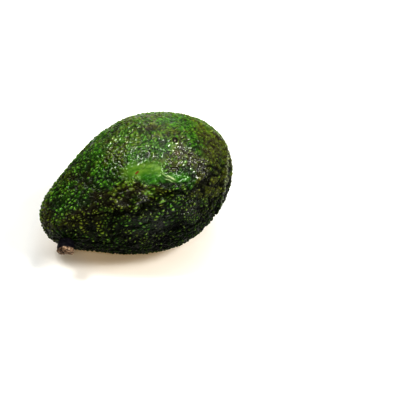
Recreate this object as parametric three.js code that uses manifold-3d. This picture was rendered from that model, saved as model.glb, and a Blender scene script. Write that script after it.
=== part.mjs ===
// A whole ripe avocado as picked: the fruit, lying on a small flat spot, and the stub of its stem.
// Millimetres, +Z up. The stem end points to -X and droops, the blunt blossom end points to +X.
// The origin is at the centre of the object's box, on the surface that the fruit rests on.

import * as THREE from "three";
import { mergeVertices } from "three/addons/utils/BufferGeometryUtils.js";
import Module from "manifold-3d";

// Fruit: a surface of revolution about its long axis, with a slightly uneven section.
const FRUIT_LENGTH = 105;
const FRUIT_RADIUS = 35;
const PROFILE = [1, -0.255, -0.333, 0.126, 0.318]; // shapes the pear profile, as powers of u
const OVAL = 0.01; // share by which the section is oval
const TRIANGULAR = 0.006; // share by which the section has three sides
const AROUND = 64;
const ALONG = 44;

// How it lies: the stem end hangs lower than the blossom end, and the skin is pressed flat below.
const DROOP = THREE.MathUtils.degToRad(13.5);
const FLAT_DEPTH = 0.5;

// Stem stub: a dark collar and a broken woody end, set obliquely on the side of the neck.
const STUB_AT_U = 0.857; // place along the fruit's axis, from -1 at the blossom end to 1 at the tip
const STUB_AT_ANGLE = THREE.MathUtils.degToRad(196); // place around the axis, from +Y towards +Z
const STUB_LEAN = new THREE.Vector3(0.14, -0.1, -0.02); // turns it a little off the skin's normal
const STUB_ROOT = 1.6; // how deep the stub sits in the flesh
const STUB_NECK_RADIUS = 3.9;
const STUB_COLLAR_RADIUS = 4.3;
const STUB_HEIGHT = 6.4; // from the skin to the highest lump of the broken end
const BREAK_FROM = 5; // above this height the stub's surface is broken wood
const STUB_SIDES = 28;
const STUB_LOBES = 3;
const LOBE_HEIGHT = 0.45;
const SOCKET_GAP = 0.3;

const wasm = await Module();
wasm.setup();

// Radius of the fruit at u, from -1 at the blossom end to 1 at the stem end, without unevenness.
function profileRadius(u) {
  const swell = PROFILE.reduce((sum, k, power) => sum + k * u ** power, 0);
  return FRUIT_RADIUS * Math.sqrt(Math.max(0, 1 - u * u)) * swell;
}

// Share by which the section bulges at the angle around the axis, measured from +Y towards +Z.
function unevenness(u, angle) {
  return 1 + OVAL * Math.cos(2 * angle - 0.6 + 1.2 * u) + TRIANGULAR * Math.cos(3 * angle + 1 - 2 * u);
}

// A point of the skin in the fruit's own frame, with the long axis along X and the stem end at -X.
function skinPoint(u, angle) {
  const r = profileRadius(u) * unevenness(u, angle);
  return new THREE.Vector3((-FRUIT_LENGTH / 2) * u, r * Math.cos(angle), r * Math.sin(angle));
}

function skinNormal(u, angle) {
  const step = 1e-3;
  const along = skinPoint(u + step, angle).sub(skinPoint(u - step, angle));
  const around = skinPoint(u, angle + step).sub(skinPoint(u, angle - step));
  return along.cross(around).normalize();
}

// Turns a closed three.js geometry into a solid that can be joined and cut.
function toSolid(geometry) {
  const bare = geometry.clone().deleteAttribute("normal").deleteAttribute("uv");
  const merged = mergeVertices(bare, 1e-4);
  const mesh = new wasm.Mesh({
    numProp: 3,
    vertProperties: merged.attributes.position.array,
    triVerts: new Uint32Array(merged.index.array),
  });
  return new wasm.Manifold(mesh);
}

function toGeometry(solid) {
  const mesh = solid.getMesh();
  const geometry = new THREE.BufferGeometry();
  geometry.setAttribute("position", new THREE.BufferAttribute(mesh.vertProperties, 3));
  geometry.setIndex(new THREE.BufferAttribute(mesh.triVerts, 1));
  geometry.computeVertexNormals();
  return geometry;
}

// The whole fruit before anything is cut from it, in its own frame.
function fruitGeometry() {
  const profile = [];
  for (let i = 0; i <= ALONG; i++) {
    const u = -Math.cos((Math.PI * i) / ALONG);
    const onAxis = i === 0 || i === ALONG;
    profile.push(new THREE.Vector2(onAxis ? 0 : profileRadius(u), (FRUIT_LENGTH / 2) * u));
  }
  // The lathe turns about Y, so its +Y becomes -X, and its X, at angle 0, becomes +Y.
  const geometry = new THREE.LatheGeometry(profile, AROUND).rotateZ(Math.PI / 2);
  const position = geometry.attributes.position;
  for (let i = 0; i < position.count; i++) {
    const [x, y, z] = [position.getX(i), position.getY(i), position.getZ(i)];
    const share = unevenness(x / (-FRUIT_LENGTH / 2), Math.atan2(z, y));
    position.setXYZ(i, x, y * share, z * share);
  }
  return geometry;
}

// The stub stands along +Z with the skin at z = 0. A gap makes it fatter and deeper, for its socket.
function stubGeometry(gap) {
  const points = [
    [0, -STUB_ROOT - gap],
    [STUB_NECK_RADIUS * 0.8 + gap, -STUB_ROOT - gap],
    [STUB_NECK_RADIUS + gap, -STUB_ROOT * 0.4],
    [STUB_NECK_RADIUS + 0.1 + gap, 0.7],
    [STUB_COLLAR_RADIUS + gap, 1.8],
    [STUB_COLLAR_RADIUS + 0.1 + gap, 3.6],
    [STUB_COLLAR_RADIUS + gap, 4.9],
    [STUB_COLLAR_RADIUS * 0.88 + gap, 5.7],
    [STUB_COLLAR_RADIUS * 0.6, STUB_HEIGHT - LOBE_HEIGHT],
    [0, STUB_HEIGHT - 1.4 * LOBE_HEIGHT],
  ];
  const profile = points.map(([radius, height]) => new THREE.Vector2(radius, height));
  const geometry = new THREE.LatheGeometry(profile, STUB_SIDES).rotateX(Math.PI / 2);
  const position = geometry.attributes.position;
  for (let i = 0; i < position.count; i++) {
    const [x, y, z] = [position.getX(i), position.getY(i), position.getZ(i)];
    const lobe = Math.sin(STUB_LOBES * Math.atan2(y, x)) * Math.min(1, Math.hypot(x, y) / 2);
    const share = 1 + 0.03 * lobe;
    const broken = z > BREAK_FROM ? LOBE_HEIGHT * lobe : 0;
    position.setXYZ(i, x * share, y * share, z + broken);
  }
  return geometry;
}

// Puts something that stands along +Z on the skin where the stem leaves the fruit.
function stubPlacement() {
  const out = skinNormal(STUB_AT_U, STUB_AT_ANGLE).add(STUB_LEAN).normalize();
  const turn = new THREE.Quaternion().setFromUnitVectors(new THREE.Vector3(0, 0, 1), out);
  const at = skinPoint(STUB_AT_U, STUB_AT_ANGLE);
  return new THREE.Matrix4().compose(at, turn, new THREE.Vector3(1, 1, 1));
}

// A block below the plane that the skin is pressed flat against, in the frame that the fruit lies in.
function groundBlock(level) {
  const size = 3 * FRUIT_LENGTH;
  return toSolid(new THREE.BoxGeometry(size, size, size).translate(0, 0, level - size / 2));
}

function buildFruit(lying) {
  const socket = toSolid(stubGeometry(SOCKET_GAP).applyMatrix4(stubPlacement()).applyMatrix4(lying));
  const whole = fruitGeometry().applyMatrix4(lying);
  whole.computeBoundingBox();
  const level = whole.boundingBox.min.z + FLAT_DEPTH;
  const solid = toSolid(whole).subtract(groundBlock(level)).subtract(socket);
  const skin = new THREE.MeshStandardMaterial({ color: 0x2c4a16, roughness: 0.42, metalness: 0 });
  const mesh = new THREE.Mesh(toGeometry(solid), skin);
  mesh.name = "fruit_body";
  return mesh;
}

function buildStub(lying) {
  const geometry = stubGeometry(0).applyMatrix4(stubPlacement()).applyMatrix4(lying);
  const bark = new THREE.MeshStandardMaterial({ color: 0x5c4632, roughness: 0.8, metalness: 0 });
  const mesh = new THREE.Mesh(geometry, bark);
  mesh.name = "stem_stub";
  return mesh;
}

// Moves the finished group so that the centre of its box's underside is the origin.
function centreOnGround(group) {
  const box = new THREE.Box3().setFromObject(group, true);
  const middle = box.getCenter(new THREE.Vector3());
  group.position.set(-middle.x, -middle.y, -box.min.z);
  return group;
}

const lying = new THREE.Matrix4().makeRotationY(-DROOP);
const avocado = new THREE.Group();
avocado.name = "avocado";
avocado.add(buildFruit(lying), buildStub(lying));

export default centreOnGround(avocado);
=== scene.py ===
# A whole avocado lying on its side on a white table, under soft studio light.
# The fruit is one skin with real pebbles and wrinkles, and the stub of its stem is a piece of its own.
# Both are worked out in millimetres in the fruit's own frame, whose long axis is X with the stem end at
# -X, and become metres in the shared frame when their meshes are made. Lights are placed in metres.

import itertools
import math
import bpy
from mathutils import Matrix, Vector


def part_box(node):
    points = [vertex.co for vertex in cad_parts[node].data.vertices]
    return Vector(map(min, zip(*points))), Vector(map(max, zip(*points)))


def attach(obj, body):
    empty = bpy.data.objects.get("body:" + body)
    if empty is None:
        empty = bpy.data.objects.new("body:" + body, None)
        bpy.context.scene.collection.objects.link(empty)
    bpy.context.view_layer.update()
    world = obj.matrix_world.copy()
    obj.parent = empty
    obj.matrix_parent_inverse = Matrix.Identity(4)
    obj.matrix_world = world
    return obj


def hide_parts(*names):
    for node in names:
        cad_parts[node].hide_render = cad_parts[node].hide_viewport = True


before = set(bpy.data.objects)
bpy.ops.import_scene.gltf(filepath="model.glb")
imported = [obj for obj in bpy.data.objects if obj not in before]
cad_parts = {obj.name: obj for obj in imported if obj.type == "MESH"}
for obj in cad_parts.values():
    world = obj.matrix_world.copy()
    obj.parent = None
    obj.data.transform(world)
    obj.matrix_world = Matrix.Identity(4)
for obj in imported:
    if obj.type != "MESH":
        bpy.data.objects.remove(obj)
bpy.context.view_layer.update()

from types import SimpleNamespace

import bpy
import numpy as np
from mathutils import Matrix, Vector

MM = 0.001
UP = np.array([0.0, 0.0, 1.0])
LATTICE_SEED = 11
LATTICE_SHAPE = (6, 48, 48, 48)  # layers of noise, and cells along each axis

# The fruit's smooth shape, as in the solid model.
FRUIT_LENGTH = 105.0
FRUIT_RADIUS = 35.0
PROFILE = (1.0, -0.255, -0.333, 0.126, 0.318)
OVAL = 0.01
TRIANGULAR = 0.006
DROOP = math.radians(13.5)
SLOPE_STEP = 1e-3  # half the step in u or angle over which a slope of the skin is measured
AREA_RINGS = 2001  # places along the fruit where the area of its skin is summed up
BOX_SEED = 1
BOX_SAMPLES = 40000  # points of the smooth skin that its box is measured with

# Skin mesh.
CUBE_SIDE = 127  # squares along each edge of the cube that the fruit's mesh is blown up from
PEBBLE_SIZE = 1.65
PEBBLE_STRETCH = (0.75, 1.0, 1.0)  # makes the pebbles a little longer along the fruit
PEBBLE_FEATURES = ("F1", "DISTANCE_TO_EDGE")  # distances to a pebble's centre and to its edge
PEBBLE_EDGE = 0.3  # how far a pebble's steep slope reaches in from its edge, in pebbles
PEBBLE_CROWN = 0.8  # how much lower a pebble is one pebble away from its centre
DOT_RADIUS = 0.32  # of the bright dot on a pebble's top, in pebbles
LENGTHWISE = (0.3, 1.0, 1.0)  # makes what it scales longer along the fruit
# Skin that faces this way is painted nearly black, as painted shade on the belly.
SHADED_SIDE = np.array([0.1, -0.7, -0.7])  # the way that the darkest skin, on the belly, faces

# Places on the skin are given as u, from -1 at the blossom end to 1 at the tip, and degrees around the
# axis from +Y towards +Z. A blotch has the two ends of its middle line, its half-width, and how many
# half-widths away from that line it starts and stops fading out.
BLOTCHES = {
    "patch": ((0.06, 128), (-0.14, 135), 4.8, 0.0, 1.5),
    "ribbon": ((-0.02, 137), (-0.38, 150), 3.0, 0.3, 1.2),
    "pale": ((-0.39, 118), (-0.375, 122), 1.6, 0.2, 1.3),
    "glossy": ((-0.45, 127), (-0.57, 147), 6.0, 0.5, 1.3),
    "green_neck": ((0.8, 117), (0.38, 118), 7.0, 0.4, 1.4),
    "green_side": ((0.0, 138), (-0.42, 149), 3.4, 0.4, 1.4),
}

# Thin lines are pairs of places. The other marks have the two ends of a middle line and a half-width.
CREASES = (((0.43, 109), (0.26, 126)), ((0.33, 141), (0.21, 139)))
CREASE_WIDTH = 0.8
WEALS = (((-0.13, 138), (-0.26, 150)), ((-0.18, 139), (-0.31, 151)), ((-0.22, 141), (-0.34, 154)))
WEAL_WIDTH = 0.55
SCAR = ((-0.437, 115), (-0.437, 115), 1.9)
TICK = ((0.045, 129.7), (0.02, 129), 0.6)
BRUISE = ((-0.40, 125), (-0.375, 131), 1.0)

# The low ridge that bends round the blossom end.
RIDGE_U = -0.945
RIDGE_DEGREES = 130.0
RIDGE_BEND = 0.1
RIDGE_TURN = 20.0  # how many degrees from its middle the ridge bends away

# Stem stub, as in the solid model.
STUB_U = 0.857
STUB_ANGLE = math.radians(196)
STUB_LEAN = np.array([0.14, -0.1, -0.02])

# Radius and height above the skin of the stub's outline, before it is made uneven.
STUB_PROFILE = (
    (0.0, -1.6),
    (3.2, -1.6),
    (3.9, -0.6),
    (4.0, 0.7),
    (4.25, 1.8),
    (4.35, 3.6),
    (4.1, 4.2),
    (4.4, 4.6),
    (4.4, 5.3),
    (3.8, 5.9),
    (2.4, 6.2),
    (0.0, 6.0),
)
BREAK_SLOPE = 0.2  # the stalk broke off obliquely, so one side of the collar is longer
STUB_AROUND = 120
STUB_ALONG = 90

# View of the fruit: from its stem end's side and above.
VIEW_AZIMUTH = math.radians(-20.5)
VIEW_ELEVATION = math.radians(35)
VIEW_DISTANCE = 0.65
LENS = 112.6
SENSOR = 36.0
FRUIT_FROM_LEFT = 0.341  # where the fruit's middle stands in the frame, as shares of its sides
FRUIT_FROM_TOP = 0.470

# Soft lights: place, target, width, depth and power. Places and targets are (right, away, up) of the
# view, in metres from the origin.
LIGHTS = {
    "front": ((0.05, -0.8, 0.63), (0.0, 0.0, 0.0), 0.8, 0.12, 4.5),
    "overhead": ((0.0, 0.4, 0.9), (0.0, 0.4, 0.0), 1.6, 1.1, 4.5),
    "strip": ((0.2, 0.0, 0.95), (0.0, 0.0, 0.0), 1.2, 0.3, 3.0),
    "left": ((-0.4, 0.0, 0.9), (0.0, 0.0, 0.0), 0.24, 0.24, 6.0),
    "right": ((0.72, -0.4, 0.8), (0.0, 0.0, 0.0), 0.34, 0.34, 15.0),
    "behind": ((0.5, 1.3, 0.5), (0.0, 0.0, 0.1), 2.2, 0.9, 8.0),
    "edge": ((1.2, 0.35, 0.35), (0.0, 0.0, 0.03), 0.5, 0.4, 3.0),
}
LIGHT_COLOUR = (1.0, 1.0, 0.97)
SKY_COLOUR = (1.0, 0.97, 0.93, 1.0)
SKY_STRENGTH = 0.12
FLOOR_SIZE = 6.0
GAMMA = 0.75


# ---------------------------------------------------------------- numbers


def smoothstep(low, high, value):
    """0 up to low, 1 from high on and a smooth slope between; low may also be the larger of the two."""
    t = np.clip((value - low) / (high - low), 0.0, 1.0)
    return t * t * (3.0 - 2.0 * t)


def crease(value, width):
    """1 on a line where value is 0, falling to 0 at width on each side."""
    return 1.0 - smoothstep(0.0, width, np.abs(value))


def largest(*values):
    return np.maximum.reduce(values)


def unit(vectors):
    return vectors / np.linalg.norm(vectors, axis=-1, keepdims=True)


def make_lattice():
    return np.random.default_rng(LATTICE_SEED).uniform(-1.0, 1.0, LATTICE_SHAPE)


LATTICE = make_lattice()


def noise(points, length, layer=0):
    """Smooth seeded noise from about -1 to 1 that varies over that length."""
    scaled = points / length
    cell = np.floor(scaled).astype(int)
    part = scaled - cell
    part = part * part * (3.0 - 2.0 * part)
    total = np.zeros(len(points))
    for corner in itertools.product((0, 1), repeat=3):
        index = (cell + corner) % LATTICE.shape[1]
        weight = np.prod(np.where(corner, part, 1.0 - part), axis=1)
        total += weight * LATTICE[layer, index[:, 0], index[:, 1], index[:, 2]]
    return total


def noise_vectors(points, length, layers):
    return np.stack([noise(points, length, layer) for layer in layers], axis=-1)


# ---------------------------------------------------------------- the smooth fruit


def profile_radius(u):
    """Radius of the fruit at u, from -1 at the blossom end to 1 at the stem end."""
    swell = sum(k * u**power for power, k in enumerate(PROFILE))
    return FRUIT_RADIUS * np.sqrt(np.clip(1.0 - u * u, 0.0, None)) * swell


def skin_points(u, angle):
    """Points of the smooth skin; angle is around the long axis, from +Y towards +Z."""
    uneven = 1.0 + OVAL * np.cos(2 * angle - 0.6 + 1.2 * u)
    uneven += TRIANGULAR * np.cos(3 * angle + 1.0 - 2 * u)
    r = profile_radius(u) * uneven
    return np.stack([-FRUIT_LENGTH / 2 * u, r * np.cos(angle), r * np.sin(angle)], axis=-1)


def skin_steps(u, angle):
    """Short steps over the skin at u and angle, one along the fruit and one around it."""
    inner = np.clip(u, -1 + 2 * SLOPE_STEP, 1 - 2 * SLOPE_STEP)
    along = skin_points(inner + SLOPE_STEP, angle) - skin_points(inner - SLOPE_STEP, angle)
    around = skin_points(inner, angle + SLOPE_STEP) - skin_points(inner, angle - SLOPE_STEP)
    return along, around


def skin_normals(u, angle):
    return unit(np.cross(*skin_steps(u, angle)))


def millimetres_per_u(u, angle):
    """How many millimetres of skin one unit of u takes, along the fruit."""
    along, _ = skin_steps(u, angle)
    return np.linalg.norm(along, axis=-1) / (2 * SLOPE_STEP)


def area_table():
    """Values of u, and the share of the skin that lies on the blossom side of each."""
    u = -np.cos(np.linspace(0.0, math.pi, AREA_RINGS))
    ring = np.stack([-FRUIT_LENGTH / 2 * u, profile_radius(u)], axis=-1)
    steps = np.linalg.norm(np.diff(ring, axis=0), axis=1)
    bands = steps * (ring[1:, 1] + ring[:-1, 1])
    share = np.concatenate([[0.0], np.cumsum(bands)])
    return u, share / share[-1]


AREA_U, AREA_SHARE = area_table()


def on_skin(directions):
    """u and angle of the skin points that these directions from a ball map to, keeping areas."""
    share = (1.0 - directions[:, 0]) / 2
    u = np.interp(share, AREA_SHARE, AREA_U)
    return u, np.arctan2(directions[:, 2], directions[:, 1])


def cube_ball(side):
    """Directions and squares of a ball blown up from a cube of side x side squares a face."""
    grid = np.arange(side)
    corners = []
    for axis in range(3):
        for end in (0, side):
            i, j = (g.ravel() for g in np.meshgrid(grid, grid, indexing="ij"))
            square = []
            for di, dj in ((0, 0), (1, 0), (1, 1), (0, 1)):
                corner = np.full((len(i), 3), end)
                corner[:, (axis + 1) % 3] = i + di
                corner[:, (axis + 2) % 3] = j + dj
                square.append(corner)
            corners.append(np.stack(square if end else square[::-1], axis=1))
    corners = np.concatenate(corners)
    places, index = np.unique(corners.reshape(-1, 3), axis=0, return_inverse=True)
    spread = np.tan((places / side * 2.0 - 1.0) * math.pi / 4)
    return unit(spread), index.reshape(-1, 4)


# ---------------------------------------------------------------- from the fruit's frame to the shared one


def lie_down(points):
    """Turns points or directions from the fruit's own frame to the pose that it lies in."""
    c, s = math.cos(DROOP), math.sin(DROOP)
    x, y, z = np.moveaxis(np.asarray(points, float), -1, 0)
    return np.stack([x * c - z * s, y, x * s + z * c], axis=-1)


def lying_offset():
    """Metres from the origin of the shared frame to the middle of the fruit's long axis."""
    directions = unit(np.random.default_rng(BOX_SEED).normal(size=(BOX_SAMPLES, 3)))
    points = lie_down(skin_points(*on_skin(directions))) * MM
    low, high = (np.array(corner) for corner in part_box("fruit_body"))
    offset = (low + high) / 2 - (points.min(0) + points.max(0)) / 2
    offset[2] = high[2] - points[:, 2].max()
    return offset


OFFSET = lying_offset()


def to_shared(points):
    return lie_down(points) * MM + OFFSET


# ---------------------------------------------------------------- pebbles


def pebble_places(points):
    """Where points lie among the pebbles, counted in pebbles; a warp makes them uneven and sinuous."""
    warp = noise_vectors(points, 2.6, (0, 1, 2))
    drift = noise_vectors(points, 9.0, (3, 4, 5))
    return (points * PEBBLE_STRETCH + 0.7 * warp + 1.5 * drift) / PEBBLE_SIZE


def pebble_probe():
    """Geometry nodes that store how far each point is from its pebble's centre and edge."""
    group = bpy.data.node_groups.new("measure_pebbles", "GeometryNodeTree")
    for side in ("INPUT", "OUTPUT"):
        group.interface.new_socket("Geometry", in_out=side, socket_type="NodeSocketGeometry")
    geometry = group.nodes.new("NodeGroupInput").outputs[0]
    for feature in PEBBLE_FEATURES:
        cells = group.nodes.new("ShaderNodeTexVoronoi")
        cells.feature = feature
        cells.inputs["Scale"].default_value = 1.0
        store = group.nodes.new("GeometryNodeStoreNamedAttribute")
        store.inputs["Name"].default_value = feature
        group.links.new(geometry, store.inputs["Geometry"])
        group.links.new(cells.outputs["Distance"], store.inputs["Value"])
        geometry = store.outputs["Geometry"]
    group.links.new(geometry, group.nodes.new("NodeGroupOutput").inputs[0])
    return group


def measure_pebbles(places):
    """Distances to each place's pebble centre and edge, by the texture that the skin's material has."""
    group = pebble_probe()
    mesh = bpy.data.meshes.new("probe")
    mesh.from_pydata(places.tolist(), [], [])
    probe = bpy.data.objects.new("probe", mesh)
    bpy.context.scene.collection.objects.link(probe)
    probe.modifiers.new("measure", "NODES").node_group = group
    seen = probe.evaluated_get(bpy.context.evaluated_depsgraph_get()).data
    distances = []
    for feature in PEBBLE_FEATURES:
        values = np.empty(len(places), np.float32)
        seen.attributes[feature].data.foreach_get("value", values)
        distances.append(values.astype(float))
    bpy.data.objects.remove(probe)
    bpy.data.meshes.remove(mesh)
    bpy.data.node_groups.remove(group)
    return distances


def find_pebbles(points, zones):
    """The domes of the pebbles, and what the material needs to show the same ones."""
    places = pebble_places(points)
    centre, border = measure_pebbles(places)

    # On the upper side the pebbles run together into sinuous ridges.
    join = 0.7 * smoothstep(0.0, 0.5, noise(points, 2.2, 2)) * (1.0 - 0.7 * zones.distinct)
    dome = np.maximum(smoothstep(0.0, PEBBLE_EDGE, border), join) * (1.0 - PEBBLE_CROWN * centre)
    return SimpleNamespace(places=places, join=join, dome=dome)


# ---------------------------------------------------------------- marks and zones of the skin


def strip(points, start, end, half_width):
    """Distance from the line between two places on the skin, counted in half-widths of the strip."""
    first, last = (skin_points(np.array(u), np.radians(degrees)) for u, degrees in (start, end))
    run = last - first
    t = np.clip((points - first) @ run / max(run @ run, 1e-9), 0.0, 1.0)
    return np.linalg.norm(points - first - t[:, None] * run, axis=1) / half_width


def thin_lines(points, lines, width, core):
    """1 within core widths of a line and 0 from one width on; each line is a pair of places."""
    return np.max([smoothstep(1.0, core, strip(points, *ends, width)) for ends in lines], axis=0)


def find_marks(points, u, degrees):
    """Marks that have places of their own, from 0 off the mark to 1 on it."""
    ragged = 0.35 * noise(points, 4.0, 3) + 0.3 * noise(points, 1.7, 4)
    marks = SimpleNamespace()
    for name, (start, end, half_width, inner, outer) in BLOTCHES.items():
        away = strip(points, start, end, half_width) + ragged
        setattr(marks, name, 1.0 - smoothstep(inner, outer, away))

    # One sharp edge ends the scuffed patch below, and the green ribbon that runs on from it.
    below = degrees + 62.0 * u - 140.5 + 3.0 * noise(points, 3.0, 1)
    marks.over_edge = smoothstep(1.5, -1.5, below)
    marks.patch *= marks.over_edge
    marks.ribbon *= marks.over_edge
    marks.vivid = np.maximum(marks.green_neck, marks.green_side * marks.over_edge)

    # The round scar and the scar at the blossom end are given as distances from their middles.
    marks.scar = strip(points, *SCAR) + 0.25 * noise(points, 1.3, 2)
    tip = skin_points(np.array(-1.0), np.array(0.0))
    marks.off_tip = np.linalg.norm(points - tip, axis=1) + 0.3 * noise(points, 0.95, 4)

    # Where the skin is smoother than elsewhere.
    scarred = 1.0 - smoothstep(0.8, 1.4, marks.scar)
    marks.calm = largest(marks.patch, 0.55 * marks.ribbon, 0.7 * marks.pale, scarred)
    return marks


def find_zones(points, u, angle, degrees, marks):
    """Broad zones of the skin, from 0 outside the zone to 1 inside it."""
    zones = SimpleNamespace()
    zones.neck = smoothstep(0.0, 0.75, u + 0.2 * noise(points, 14.0, 4))
    # The flank is all the skin below the top; its colours are shaded copies of the top's, as painted shade.
    zones.flank = smoothstep(-0.75, -0.35, -np.sin(angle) + 0.12 * noise(points, 9.0, 5))
    zones.blossom_end = smoothstep(-0.3, -0.75, u + 0.25 * smoothstep(140.0, 110.0, degrees))
    # Skin that faces down and away is painted dark: painted shade.
    facing = skin_normals(u, angle) @ unit(SHADED_SIDE)
    facing = facing + 0.12 * noise(points, 9.0, 2) + 0.06 * noise(points, 3.0, 0)
    zones.belly = smoothstep(0.5, 0.95, facing)

    # Pebbles stand apart on the neck and the flanks, and are faint low on the blossom end's half.
    zones.distinct = np.maximum(zones.neck * 0.8, zones.flank)
    zones.bald = smoothstep(-0.33, -0.5, u) * smoothstep(146.0, 156.0, degrees) * (1.0 - zones.belly)

    # Folds run just below the patch's sharp edge.
    below_edge = (1.0 - marks.over_edge) * smoothstep(172.0, 150.0, degrees)
    zones.rumpled = below_edge * smoothstep(0.55, 0.3, u) * (1.0 - zones.blossom_end)
    return zones


# ---------------------------------------------------------------- skin relief


def find_wrinkles(points, marks, zones):
    """Wrinkles, folds and thin lines, each on its own."""
    along = points * LENGTHWISE
    bent = noise_vectors(points, 2.2, (0, 1, 2))
    broken = smoothstep(-0.4, 0.2, noise(points, 1.7, 3))
    return SimpleNamespace(
        bent=bent,
        fine=noise(points, 0.95, 4),
        sinuous=crease(noise(points + 1.1 * bent, 1.9, 0), 0.32) * (1.0 - 0.7 * zones.distinct),
        groove=crease(noise(along + 0.45 * bent, 2.7, 1), 0.3) * zones.distinct,
        fold=noise(along + 0.3 * bent, 1.25, 5) * zones.rumpled,
        streak=noise(along, 0.9, 2) * marks.ribbon,
        creased=thin_lines(points + bent, CREASES, CREASE_WIDTH, 0.3),
        weal=thin_lines(points + 0.6 * bent, WEALS, WEAL_WIDTH, 0.2) * broken,
    )


def find_ridge(points, u, angle, degrees):
    """The low ridge round the blossom end: its height, the painted sheen that makes it and the skin past it
    paler, and the skin just past it.
    """
    bend = np.sqrt(1.0 + ((degrees - RIDGE_DEGREES) / RIDGE_TURN) ** 2) - 1.0
    inside = (u - RIDGE_U - RIDGE_BEND * bend) * millimetres_per_u(u, angle) + 0.5 * noise(points, 4.0, 3)
    past = smoothstep(1.0, -1.0, inside) * smoothstep(-9.0, -3.0, inside)
    fade = smoothstep(75.0, 45.0, np.abs(degrees - RIDGE_DEGREES - 15.0))
    return SimpleNamespace(
        height=(crease(inside, 2.0) - 0.6 * crease(inside - 4.0, 3.0)) * fade,
        rim_sheen=(crease(inside, 1.4) + 0.7 * past) * fade,
        past=past * fade,
    )


def stub_axes():
    """Where the stub leaves the smooth skin, and three directions: two across it and one out of it."""
    u, angle = np.array(STUB_U), np.array(STUB_ANGLE)
    out = unit(skin_normals(u, angle) + STUB_LEAN)
    side = unit(np.cross(out, UP))
    return skin_points(u, angle), np.stack([side, np.cross(out, side), out])


def around_stub(points):
    """Distance from the stub's axis, and the angle around it."""
    middle, (side, other, _) = stub_axes()
    apart = points - middle
    return np.hypot(apart @ side, apart @ other), np.arctan2(apart @ other, apart @ side)


def find_relief(points, marks, zones, wrinkles, ridge, dome):
    """Millimetres of the skin's height and of the ground that its pebbles stand on, and their size."""
    away, turn = around_stub(points)
    near_stub = 1.0 - smoothstep(5.0, 15.0, away)
    rays = np.sin(turn * 15 + 2.5 * noise(points, 5.0, 0)) * smoothstep(2.0, 5.0, away)
    rough = (1.0 - 0.6 * near_stub) * (1.0 - 0.9 * marks.calm)
    pebbly = (0.75 + 0.25 * zones.distinct - 0.3 * zones.bald) * rough

    # Folds gather at the stub, and the calm marks stand a little above the wrinkles.
    # The ground also sets the skin's colour, so gaps, grooves and creases get darker colours: painted
    # shade.
    ground = -0.4 * wrinkles.sinuous - 1.1 * wrinkles.groove + 0.1 * wrinkles.fine
    ground = ground * (1.0 - 0.6 * near_stub) + 0.35 * rays * near_stub
    ground = ground * (1.0 - 0.9 * marks.calm) + 0.4 * marks.calm + 0.4 * wrinkles.streak
    ground = ground - 0.6 * wrinkles.creased + 0.8 * wrinkles.weal + 0.45 * wrinkles.fold

    height = 0.95 * (ground + pebbly * dome - 0.3) + 0.3 * marks.glossy * noise(points, 1.1, 5)
    height = height + 0.4 * noise(points, 11.0, 5) + 1.1 * ridge.height + 0.4 * wrinkles.fold
    height -= 0.9 * near_stub * smoothstep(9.0, 4.0, away)

    # The round scar is a dent with a groove round it, the blossom scar a small knob in a dimple.
    height -= 0.5 * (1.0 - smoothstep(0.4, 0.8, marks.scar)) - 0.25 * crease(marks.scar - 1.0, 0.35)
    height -= 0.9 * smoothstep(6.0, 1.5, marks.off_tip) - 0.8 * smoothstep(1.4, 0.8, marks.off_tip)
    return height, ground, pebbly


# ---------------------------------------------------------------- what the skin's material reads


def find_lift(degrees, marks, zones):
    """How much the painted shade in the gaps between the pebbles is lightened."""
    above = 0.4 + 0.8 * smoothstep(128.0, 100.0, degrees) + 0.6 * zones.rumpled
    lift = largest(above * (1.0 - zones.distinct), 0.6 * zones.blossom_end, 1.8 * zones.bald)
    return 0.2 * lift * (1.0 - marks.calm)


def find_dots(u, marks, zones):
    """How bright the dots on the pebbles' tops are."""
    # The dots fade in the belly's painted shade.
    dots = (1.0 - marks.calm) * (0.15 + 0.7 * zones.distinct) * (1.0 - 0.6 * zones.belly)
    return dots * (1.0 - 0.6 * smoothstep(-0.2, -0.6, u) - 0.3 * zones.neck)


def find_olive(points, degrees, marks, zones):
    """How far the skin is olive rather than green."""
    olive = 0.25 + 0.45 * zones.blossom_end + 0.15 * zones.neck + 0.05 * zones.bald
    olive += 0.35 * (1.0 - marks.over_edge) * smoothstep(170.0, 150.0, degrees)
    return olive + 0.35 * noise(points, 8.0, 3) - 0.6 * marks.vivid + 0.4 * marks.glossy


def find_shine(points, u, marks, zones, wrinkles, ridge):
    """How glossy the skin is, apart from the light that all of it mirrors."""
    crest = smoothstep(0.2, 0.5, wrinkles.fold)
    shine = 0.66 - 0.25 * zones.flank + 0.25 * noise(points, 6.0, 1) - 0.5 * zones.rumpled + 1.2 * crest
    dull = largest(smoothstep(-0.5, -0.65, u), zones.bald, 0.6 * marks.ribbon)
    dull = np.maximum(dull, smoothstep(0.1, 0.45, u) * (1.0 - 0.5 * marks.vivid))
    shine *= (1.0 - zones.belly) * (1.0 - 0.85 * dull)
    shine = largest(shine, marks.glossy, 0.6 * ridge.past, wrinkles.weal)
    return shine * smoothstep(0.7, 1.4, marks.scar)


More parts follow.
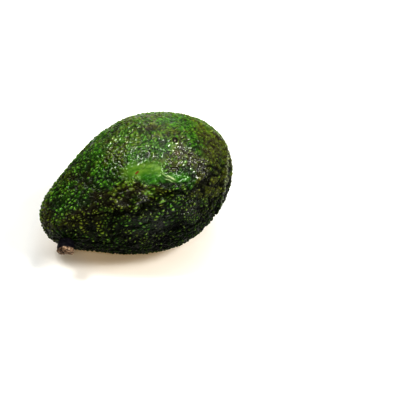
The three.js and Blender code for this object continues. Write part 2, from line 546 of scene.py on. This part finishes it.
def skin_fields(points, u, angle):
    """What the skin is like at each point: its relief in millimetres, and what its material reads."""
    degrees = np.degrees(angle) % 360.0
    marks = find_marks(points, u, degrees)
    zones = find_zones(points, u, angle, degrees, marks)
    wrinkles = find_wrinkles(points, marks, zones)
    ridge = find_ridge(points, u, angle, degrees)
    pebbles = find_pebbles(points, zones)
    height, ground, pebbly = find_relief(points, marks, zones, wrinkles, ridge, pebbles.dome)
    faint = 0.4 * np.maximum(0.4 * zones.blossom_end, zones.bald)
    return height, {
        "pebble": pebbles.places,
        "join": pebbles.join,
        "pebbly": pebbly,
        "contrast": pebbly * (0.7 + 0.3 * zones.distinct) * (1.0 - faint),
        "ground": ground + 0.08 + find_lift(degrees, marks, zones),
        "dot": find_dots(u, marks, zones),
        "olive": find_olive(points, degrees, marks, zones),
        "shine": find_shine(points, u, marks, zones, wrinkles, ridge),
        "flank": zones.flank,
        "belly": zones.belly,
        "patch": np.maximum(marks.patch, 0.35 * marks.pale),
        "ribbon": marks.ribbon,
        "weal": wrinkles.weal,
        "rim_sheen": ridge.rim_sheen,
        "scar": marks.scar,
        "tip": smoothstep(2.2, 1.0, marks.off_tip),
        "tick": strip(points, *TICK),
        "bruise": strip(points + wrinkles.bent, *BRUISE),
    }


# ---------------------------------------------------------------- meshes


def build_mesh(name, points, faces, attributes):
    mesh = bpy.data.meshes.new(name)
    mesh.from_pydata(points.tolist(), [], faces.tolist())
    for key, values in attributes.items():
        kind, field = ("FLOAT", "value") if values.ndim == 1 else ("FLOAT_VECTOR", "vector")
        layer = mesh.attributes.new(key, kind, "POINT")
        layer.data.foreach_set(field, values.astype(np.float32).ravel())
    mesh.shade_smooth()
    mesh.update()
    piece = bpy.data.objects.new(name, mesh)
    bpy.context.scene.collection.objects.link(piece)
    return piece


def make_fruit():
    """The fruit's skin, pressed flat where it rests."""
    directions, faces = cube_ball(CUBE_SIDE)
    u, angle = on_skin(directions)
    smooth = skin_points(u, angle)
    height, attributes = skin_fields(smooth, u, angle)
    points = to_shared(smooth + skin_normals(u, angle) * height[:, None])
    points[:, 2] = np.maximum(points[:, 2], 0.0)
    return build_mesh("avocado_skin", points, faces, attributes)


def stub_rings():
    """Points of the stub's outline turned round its axis, ring by ring from its foot."""
    corners = np.array(STUB_PROFILE)
    lengths = np.linalg.norm(np.diff(corners, axis=0), axis=1)
    travelled = np.concatenate([[0.0], np.cumsum(lengths)])
    along = np.linspace(0.0, travelled[-1], STUB_ALONG)
    radius = np.interp(along, travelled, corners[:, 0])
    height = np.interp(along, travelled, corners[:, 1])
    turn = np.arange(STUB_AROUND) * 2 * math.pi / STUB_AROUND
    x = radius[:, None] * np.cos(turn)
    y = radius[:, None] * np.sin(turn)
    z = height[:, None] + 0 * turn
    return np.stack([x, y, z], axis=-1).reshape(-1, 3)


def stub_faces():
    here = np.arange(STUB_ALONG * STUB_AROUND).reshape(STUB_ALONG, STUB_AROUND)
    after = np.roll(here, -1, axis=1)
    return np.stack([here[:-1], after[:-1], after[1:], here[1:]], axis=-1).reshape(-1, 4)


def roughen_stub(points):
    """The stub's points with rough bark and lumpy broken wood, and where it is broken and cracked."""
    broken = smoothstep(3.8, 4.4, points[:, 2] + 0.5 * noise(points, 2.0, 0))
    crack = crease(noise(points * np.array([1.0, 1.0, 0.35]), 1.5, 1), 0.25)
    split = crease(points[:, 0] + 0.8 * noise(points, 1.8, 5) - 0.4, 0.9)
    bark = 0.25 * noise(points, 1.2, 4) - 0.2 * crack
    lump = noise(points, 3.2, 2) * 0.9 + noise(points, 1.4, 3) * 0.45
    wood = 0.6 * lump - 0.35 * crack - 0.8 * split
    lift = (1.0 - broken) * bark + broken * wood
    outward = unit(points * np.array([1.0, 1.0, 0.0]) + 1e-6)
    upward = smoothstep(4.4, 6.0, points[:, 2])[:, None] * UP
    rough = points + (outward * (1.0 - 0.5 * broken[:, None]) + upward) * lift[:, None]
    rough[:, 2] -= BREAK_SLOPE * rough[:, 1] * smoothstep(1.5, 4.0, rough[:, 2])
    return rough, {"broken": broken, "crack": np.maximum(crack, split)}


def make_stub():
    """The stub: a dark collar and the lumpy end where the stalk broke off."""
    points, attributes = roughen_stub(stub_rings())
    middle, axes = stub_axes()
    return build_mesh("avocado_stub", to_shared(middle + points @ axes), stub_faces(), attributes)


# ---------------------------------------------------------------- colours, in linear light

# Skin from the gaps between the pebbles up to their tops, at these heights; the darker colours of the gaps
# are painted shade.
RELIEF_STOPS = (0.0, 0.3, 0.6, 1.0)
LIT_GREEN = ((0.006, 0.018, 0.001), (0.020, 0.070, 0.003), (0.060, 0.175, 0.010), (0.12, 0.27, 0.022))
LIT_OLIVE = ((0.014, 0.010, 0.003), (0.040, 0.046, 0.004), (0.09, 0.125, 0.008), (0.16, 0.20, 0.020))
# Shaded copies of the colours above, for the flank: painted shade.
SHADED_GREEN = ((0.001, 0.004, 0.001), (0.005, 0.019, 0.002), (0.016, 0.060, 0.005), (0.07, 0.18, 0.016))
SHADED_OLIVE = ((0.002, 0.002, 0.001), (0.013, 0.013, 0.002), (0.046, 0.053, 0.005), (0.15, 0.165, 0.020))
# The belly's colours: painted shade, nearly black.
SHADED_BELLY_COLOURS = ((0.001, 0.001, 0.001), (0.002, 0.005, 0.001), (0.006, 0.016, 0.001), (0.02, 0.045, 0.003))
DOT_COLOUR = (0.24, 0.33, 0.07)

# Marks; the streaked ones go from a dark to a light colour, each with its place on the ramp.
PATCH_COLOURS = ((0.35, (0.04, 0.11, 0.008)), (0.65, (0.11, 0.19, 0.025)))
RIBBON_COLOURS = ((0.35, (0.008, 0.055, 0.002)), (0.7, (0.05, 0.18, 0.006)))
# The round scar's pale middle is a painted highlight.
SCAR_COLOURS = ((0.1, (0.15, 0.14, 0.10)), (0.3, (0.008, 0.005, 0.005)))
# The weals' pale colour is a painted highlight.
WEAL_HIGHLIGHT_COLOUR = (0.26, 0.32, 0.15)
# Painted sheen on the ridge round the blossom end and on the skin past it.
RIM_SHEEN_COLOUR = (0.20, 0.23, 0.12)
TICK_COLOUR = (0.12, 0.025, 0.010)
BRUISE_COLOUR = (0.05, 0.03, 0.008)
TIP_COLOUR = (0.035, 0.022, 0.010)

# What the skin mirrors is tinted, by zone; the dimmer tints on the flank and belly are painted shade in its
# reflections.
GLOSS_ABOVE = (0.7, 0.8, 0.5)
GLOSS_SHADED_FLANK = (0.45, 0.5, 0.15)
GLOSS_SHADED_BELLY = (0.06, 0.10, 0.04)

COLLAR_COLOURS = ((0.3, (0.001, 0.001, 0.002)), (0.75, (0.008, 0.006, 0.011)))
WOOD_COLOURS = ((0.3, (0.07, 0.04, 0.022)), (0.5, (0.19, 0.125, 0.08)), (0.72, (0.44, 0.33, 0.24)))
CRACK_COLOUR = (0.03, 0.015, 0.01)
TABLE_COLOURS = ((0.3, (0.66, 0.655, 0.65)), (0.7, (0.68, 0.675, 0.67)))
GLOW_COLOUR = (1.0, 0.6, 0.15, 1.0)
GLOW_STRENGTH = 0.22
GLOW_SCALE = (14.0, 14.0, 14.0)  # one over the metres that the glow reaches


# ---------------------------------------------------------------- nodes


def new_material(name, **values):
    """A material and its shader, with fixed values set on the shader's own sockets."""
    material = bpy.data.materials.new(name)
    material.use_nodes = True
    shader = material.node_tree.nodes["Principled BSDF"]
    for key, value in values.items():
        shader.inputs[key.replace("_", " ")].default_value = value
    return material, material.node_tree, shader


def add(tree, kind, inputs=(), **settings):
    """A new node with its settings; each input is a value or the output that feeds it."""
    made = tree.nodes.new("ShaderNode" + kind)
    for key, value in settings.items():
        setattr(made, key, value)
    for key, value in dict(inputs).items():
        if isinstance(value, bpy.types.NodeSocket):
            tree.links.new(value, made.inputs[key])
        else:
            made.inputs[key].default_value = value
    return made


def attribute(tree, name, output="Fac"):
    return add(tree, "Attribute", attribute_name=name).outputs[output]


def own_place(tree):
    return add(tree, "TexCoord").outputs["Object"]


def maths(tree, operation, *values):
    return add(tree, "Math", dict(enumerate(values)), operation=operation).outputs[0]


def ramp(tree, value, stops, mode="LINEAR"):
    """A colour ramp fed by value; stops are (place, colour) pairs."""
    made = add(tree, "ValToRGB", {"Fac": value})
    made.color_ramp.interpolation = mode
    elements = made.color_ramp.elements
    while len(elements) < len(stops):
        elements.new(0.5)
    for element, (place, colour) in zip(elements, stops):
        element.position = place
        element.color = (*colour, 1.0)
    return made.outputs["Color"]


def fade(tree, value, low, high, first=0.0, last=1.0, mode="LINEAR"):
    """A share that goes from first, where value is low, to last, where it is high."""
    return ramp(tree, value, ((low, (first,) * 3), (high, (last,) * 3)), mode)


def relief_ramp(tree, relief, colours):
    return ramp(tree, relief, tuple(zip(RELIEF_STOPS, colours)))


def mix(tree, share, first, second):
    """The colour first where share is 0 and second where it is 1."""
    made = add(tree, "Mix", {0: share}, data_type="RGBA", blend_type="MIX")
    for socket, value in ((6, first), (7, second)):
        if isinstance(value, bpy.types.NodeSocket):
            tree.links.new(value, made.inputs[socket])
        else:
            made.inputs[socket].default_value = (*value, 1.0)
    return made.outputs[2]


# ---------------------------------------------------------------- materials


def pebble_nodes(tree):
    """The mesh's pebbles, sharper than its points can hold them: their domes, and the dots on them."""
    among = attribute(tree, "pebble", "Vector")
    centres, borders = (
        add(tree, "TexVoronoi", {"Vector": among, "Scale": 1.0}, feature=feature)
        for feature in PEBBLE_FEATURES
    )
    slope = fade(tree, borders.outputs["Distance"], 0.0, PEBBLE_EDGE, mode="EASE")
    crown = maths(tree, "MULTIPLY_ADD", centres.outputs["Distance"], -PEBBLE_CROWN, 1.0)
    dome = maths(tree, "MULTIPLY", maths(tree, "MAXIMUM", slope, attribute(tree, "join")), crown)
    top = fade(tree, centres.outputs["Distance"], 0.05, DOT_RADIUS, 1.0, 0.0, "EASE")
    tone = fade(tree, centres.outputs["Color"], 0.25, 0.6)
    dot = maths(tree, "MULTIPLY", maths(tree, "MULTIPLY", top, tone), attribute(tree, "dot"))
    return dome, dot


def plain_skin(tree, place, dome):
    """Mottled green and olive with painted shade: darker in the gaps and on the flank, and nearly black on
    the belly.
    """
    # Lower skin gets darker colours: painted shade.
    relief = maths(tree, "MULTIPLY_ADD", dome, attribute(tree, "contrast"), attribute(tree, "ground"))
    flank = attribute(tree, "flank")
    green = mix(tree, flank, relief_ramp(tree, relief, LIT_GREEN), relief_ramp(tree, relief, SHADED_GREEN))
    olive = mix(tree, flank, relief_ramp(tree, relief, LIT_OLIVE), relief_ramp(tree, relief, SHADED_OLIVE))
    mottle = add(tree, "TexNoise", {"Vector": place, "Scale": 260.0, "Detail": 5.0, "Roughness": 0.7})
    spread = maths(tree, "MULTIPLY_ADD", mottle.outputs["Fac"], 2.4, attribute(tree, "olive"))
    share = fade(tree, maths(tree, "SUBTRACT", spread, 1.2), 0.1, 0.7)
    colour = mix(tree, share, green, olive)
    return mix(tree, attribute(tree, "belly"), colour, relief_ramp(tree, relief, SHADED_BELLY_COLOURS))


def scuffed(tree, place, colour):
    """The scuffed patch and its ribbon, streaked along the fruit."""
    lengthwise = add(tree, "Mapping", {"Vector": place, "Scale": LENGTHWISE}).outputs[0]
    streaks = add(tree, "TexNoise", {"Vector": lengthwise, "Scale": 500.0, "Detail": 5.0, "Roughness": 0.6})
    patch = ramp(tree, streaks.outputs["Fac"], PATCH_COLOURS)
    colour = mix(tree, attribute(tree, "patch"), colour, patch)
    ribbon = ramp(tree, streaks.outputs["Fac"], RIBBON_COLOURS)
    return mix(tree, attribute(tree, "ribbon"), colour, ribbon)


def marked(tree, dome, colour):
    """Weals and ridge painted pale as painted highlight and sheen, a red-brown tick, a brown bruise, the
    blossom scar, and the round scar with a painted highlight in its middle.
    """
    # Painted highlight along the weals.
    colour = mix(tree, attribute(tree, "weal"), colour, WEAL_HIGHLIGHT_COLOUR)
    # The ridge and the skin past it are painted paler: painted sheen.
    colour = mix(tree, maths(tree, "MULTIPLY", attribute(tree, "rim_sheen"), dome), colour, RIM_SHEEN_COLOUR)
    ticked = fade(tree, attribute(tree, "tick"), 0.4, 1.1, 1.0, 0.0)
    colour = mix(tree, ticked, colour, TICK_COLOUR)
    bruised = fade(tree, attribute(tree, "bruise"), 0.3, 1.2, 0.8, 0.0)
    colour = mix(tree, bruised, colour, BRUISE_COLOUR)
    colour = mix(tree, attribute(tree, "tip"), colour, TIP_COLOUR)
    # The pale middle of the scar is a painted highlight.
    scar = attribute(tree, "scar")
    scarred = fade(tree, scar, 0.8, 1.1, 1.0, 0.0)
    return mix(tree, scarred, colour, ramp(tree, scar, SCAR_COLOURS))


def skin_gloss(tree):
    # The flank and belly mirror less: painted shade in the reflections.
    gloss = mix(tree, attribute(tree, "flank"), GLOSS_ABOVE, GLOSS_SHADED_FLANK)
    return mix(tree, attribute(tree, "belly"), gloss, GLOSS_SHADED_BELLY)


def skin_bump(tree, place, dome):
    """Pores and the pebbles' domes, as the slope that the light meets."""
    pores = add(tree, "TexNoise", {"Vector": place, "Scale": 1400.0, "Detail": 3.0})
    grain = add(tree, "Bump", {"Height": pores.outputs["Fac"], "Strength": 0.15, "Distance": 0.0003})
    domes = {"Height": dome, "Strength": attribute(tree, "pebbly"), "Distance": 0.0006}
    return add(tree, "Bump", {**domes, "Normal": grain.outputs["Normal"]}).outputs["Normal"]


def skin_material():
    values = {"Roughness": 0.3, "Specular_IOR_Level": 0.12, "Coat_Roughness": 0.12}
    material, tree, shader = new_material("avocado_skin", **values)
    place = own_place(tree)
    dome, dot = pebble_nodes(tree)
    colour = mix(tree, dot, plain_skin(tree, place, dome), DOT_COLOUR)
    colour = marked(tree, dome, scuffed(tree, place, colour))
    tree.links.new(colour, shader.inputs["Base Color"])
    tree.links.new(skin_gloss(tree), shader.inputs["Specular Tint"])
    tree.links.new(attribute(tree, "shine"), shader.inputs["Coat Weight"])
    tree.links.new(skin_bump(tree, place, dome), shader.inputs["Normal"])
    return material


def stub_material():
    material, tree, shader = new_material("stem_stub", Roughness=0.5, Specular_IOR_Level=0.06)
    grain = add(tree, "TexNoise", {"Vector": own_place(tree), "Scale": 700.0, "Detail": 5.0})
    collar = ramp(tree, grain.outputs["Fac"], COLLAR_COLOURS)
    wood = ramp(tree, grain.outputs["Fac"], WOOD_COLOURS)
    wood = mix(tree, attribute(tree, "crack"), wood, CRACK_COLOUR)
    colour = mix(tree, attribute(tree, "broken"), collar, wood)
    tree.links.new(colour, shader.inputs["Base Color"])
    bump = add(tree, "Bump", {"Height": grain.outputs["Fac"], "Strength": 0.5, "Distance": 0.0004})
    tree.links.new(bump.outputs["Normal"], shader.inputs["Normal"])
    return material


def floor_material():
    material, tree, shader = new_material("white_table", Roughness=0.6, Emission_Color=GLOW_COLOUR)
    place = own_place(tree)

    # A painted warm glow round the fruit: the floor gives off warm light there, which only its shadow
    # shows.
    near = add(tree, "Mapping", {"Vector": place, "Scale": GLOW_SCALE}).outputs[0]
    glow = add(tree, "TexGradient", {"Vector": near}, gradient_type="SPHERICAL").outputs["Fac"]
    warmth = fade(tree, glow, 0.2, 0.6, 0.0, GLOW_STRENGTH)
    tree.links.new(warmth, shader.inputs["Emission Strength"])
    grain = add(tree, "TexNoise", {"Vector": place, "Scale": 40.0, "Detail": 4.0})
    tree.links.new(ramp(tree, grain.outputs["Fac"], TABLE_COLOURS), shader.inputs["Base Color"])
    return material


# ---------------------------------------------------------------- stage, lights and camera


def view_axes():
    """The camera's right, up and backward directions when it looks straight at the fruit."""
    a, e = VIEW_AZIMUTH, VIEW_ELEVATION
    back = Vector((math.sin(a) * math.cos(e), -math.cos(a) * math.cos(e), math.sin(e)))
    right = Vector((math.cos(a), math.sin(a), 0.0))
    return right, back.cross(right), back


def make_camera():
    """A camera at the view's distance, turned so that the fruit stands left of the frame's middle."""
    right, up, back = view_axes()
    straight = Matrix((right, up, back)).transposed().to_quaternion()
    across = (FRUIT_FROM_LEFT - 0.5) * SENSOR
    above = (0.5 - FRUIT_FROM_TOP) * SENSOR
    aside = Vector((across, above, -LENS)).rotation_difference(Vector((0.0, 0.0, -1.0)))
    data = bpy.data.cameras.new("camera")
    data.lens = LENS
    data.sensor_width = SENSOR
    data.clip_start = 0.01
    data.clip_end = 20.0
    camera = bpy.data.objects.new("camera", data)
    camera.location = Vector(OFFSET) + back * VIEW_DISTANCE
    camera.rotation_mode = "QUATERNION"
    camera.rotation_quaternion = straight @ aside
    bpy.context.scene.collection.objects.link(camera)
    bpy.context.scene.camera = camera


def make_floor():
    bpy.ops.mesh.primitive_plane_add(size=FLOOR_SIZE, location=(0.0, 0.0, 0.0))
    floor = bpy.context.object
    floor.name = "table"
    floor.data.materials.append(floor_material())


def softbox(name, place, target, width, depth, power):
    """A rectangular soft light that faces its target."""
    right, _, back = view_axes()
    away = Vector((-back.x, -back.y, 0.0)).normalized()
    data = bpy.data.lights.new(name, "AREA")
    data.shape = "RECTANGLE"
    data.size = width
    data.size_y = depth
    data.energy = power
    data.color = LIGHT_COLOUR
    light = bpy.data.objects.new(name, data)
    at, to = (right * p[0] + away * p[1] + Vector((0, 0, p[2])) for p in (place, target))
    light.location = at
    light.rotation_mode = "QUATERNION"
    light.rotation_quaternion = (to - at).to_track_quat("-Z", "Y")
    bpy.context.scene.collection.objects.link(light)


def make_lights():
    for name, values in LIGHTS.items():
        softbox(name, *values)
    world = bpy.data.worlds.new("studio")
    world.use_nodes = True
    sky = world.node_tree.nodes["Background"]
    sky.inputs["Color"].default_value = SKY_COLOUR
    sky.inputs["Strength"].default_value = SKY_STRENGTH
    bpy.context.scene.world = world


def stand_for(piece, node, material):
    """Shows piece in place of the solid model's node."""
    piece.data.materials.append(material)
    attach(piece, "root")
    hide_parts(node)


def main():
    stand_for(make_fruit(), "fruit_body", skin_material())
    stand_for(make_stub(), "stem_stub", stub_material())
    make_floor()
    make_lights()
    make_camera()
    bpy.context.scene.view_settings.view_transform = "Standard"
    bpy.context.scene.view_settings.gamma = GAMMA


main()
